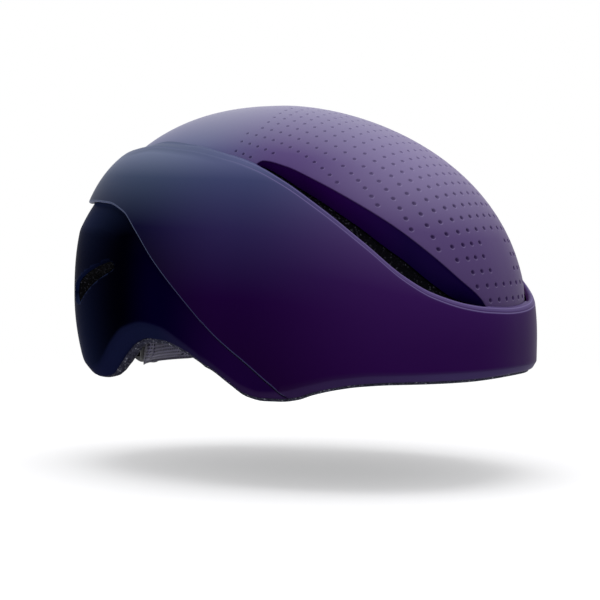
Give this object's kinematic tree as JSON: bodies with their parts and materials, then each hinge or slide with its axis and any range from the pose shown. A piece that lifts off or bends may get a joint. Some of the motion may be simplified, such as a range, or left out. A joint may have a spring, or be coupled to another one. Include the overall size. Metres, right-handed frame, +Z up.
{
  "type": "road bicycle helmet",
  "caption": "Aero road helmet with a dimpled dome over a wrap-round lower shell, side vents, foam liner, pads, dial-wound retention ring and buckled straps.",
  "frame": {"origin": "middle of the helmet's length and width, on the plane its two side lobes stand on", "axes": "+Y to the back of the helmet, +X to the wearer's left, +Z up"},
  "size_m": [0.203, 0.282, 0.1605],
  "materials": {
    "dome_paint": "glossy colour-shifting lavender",
    "wrap_paint": "glossy colour-shifting purple",
    "rear_paint": "glossy deep blue-violet",
    "foam": "beaded black foam",
    "mesh_pad": "light grey knit mesh",
    "hook_tape": "short hooks",
    "pin_nylon": "satin",
    "black_plastic": "fine satin",
    "knob_plastic": "satin with grip scallops",
    "lever_plastic": "satin",
    "pinion_nylon": "satin natural nylon",
    "webbing": "woven black",
    "magnet_plate": "bright plate",
    "keeper_rubber": "matt black"
  },
  "bodies": {
    "helmet": {"crown_shell": "dome_paint", "wrap_shell": "wrap_paint", "rear_shell": "rear_paint", "eps_liner": "foam", "brow_pad": "mesh_pad", "side_pad_left": "mesh_pad", "side_pad_right": "mesh_pad", "crown_pad_front_left": "mesh_pad", "crown_pad_front_right": "mesh_pad", "crown_pad_rear_left": "mesh_pad", "crown_pad_rear_right": "mesh_pad", "hook_dots": "hook_tape", "temple_socket_left": "black_plastic", "temple_socket_right": "black_plastic", "height_peg": "black_plastic", "strap_anchors": "black_plastic", "front_strap_left": "webbing", "front_strap_right": "webbing", "rear_strap_left": "webbing", "rear_strap_right": "webbing", "divider_left": "black_plastic", "divider_right": "black_plastic", "chin_strap_left": "webbing", "chin_strap_right": "webbing", "buckle_socket": "black_plastic", "socket_magnet": "magnet_plate"},
    "ring_carrier": {"temple_pin_left": "pin_nylon", "temple_pin_right": "pin_nylon", "height_strap": "black_plastic"},
    "arm_left": {"belt_arm_left": "black_plastic"},
    "arm_right": {"belt_arm_right": "black_plastic"},
    "cradle": {"cradle_yoke": "black_plastic", "cradle_pad": "mesh_pad", "dial_housing": "black_plastic", "dial_cover": "black_plastic"},
    "dial": {"dial_knob": "knob_plastic", "dial_pinion": "pinion_nylon"},
    "lever_left": {"cam_lever_left": "lever_plastic"},
    "lever_right": {"cam_lever_right": "lever_plastic"},
    "slider": {"buckle_slider": "black_plastic", "slider_magnet": "magnet_plate"},
    "keeper": {"strap_keeper": "keeper_rubber"}
  },
  "joints": [
    {"name": "height_tilt", "type": "hinge", "parent": "helmet", "child": "ring_carrier", "pos_m": [0, -0.018, 0.046], "axis": [1, 0, 0], "range_deg": [-3, 3]},
    {"name": "cradle_forward", "type": "slide", "parent": "ring_carrier", "child": "cradle", "axis": [0, -1, 0], "range_m": [0, 0.006]},
    {"name": "belt_left", "type": "hinge", "parent": "ring_carrier", "child": "arm_left", "pos_m": [0.069, -0.018, 0.046], "axis": [0, 0, 1], "range_deg": [0, 5]},
    {"name": "belt_right", "type": "hinge", "parent": "ring_carrier", "child": "arm_right", "pos_m": [-0.069, -0.018, 0.046], "axis": [0, 0, 1], "range_deg": [-5, 0]},
    {"name": "dial_turn", "type": "hinge", "parent": "cradle", "child": "dial", "pos_m": [0, 0.11, 0.024], "axis": [0, 1, 0], "range_deg": [-110, 0]},
    {"name": "cam_left", "type": "hinge", "parent": "helmet", "child": "lever_left", "pos_m": [0.07252, 0.00229, 0.06518], "axis": [-0.0255, -0.9997, 0], "range_deg": [0, 90]},
    {"name": "cam_right", "type": "hinge", "parent": "helmet", "child": "lever_right", "pos_m": [-0.07252, 0.00229, 0.06518], "axis": [-0.0255, 0.9997, 0], "range_deg": [0, 90]},
    {"name": "buckle_slide", "type": "slide", "parent": "helmet", "child": "slider", "axis": [0, 1, 0], "range_m": [0, 0.012]},
    {"name": "keeper_slide", "type": "slide", "parent": "helmet", "child": "keeper", "axis": [-0.7296, 0, 0.6839], "range_m": [-0.003, 0.003]}
  ],
  "couplings": [
    {"joint": "belt_left", "follows": "cradle_forward", "rad_per_m": 14.49},
    {"joint": "belt_right", "follows": "cradle_forward", "rad_per_m": -14.49},
    {"joint": "dial_turn", "follows": "cradle_forward", "rad_per_m": -311}
  ]
}
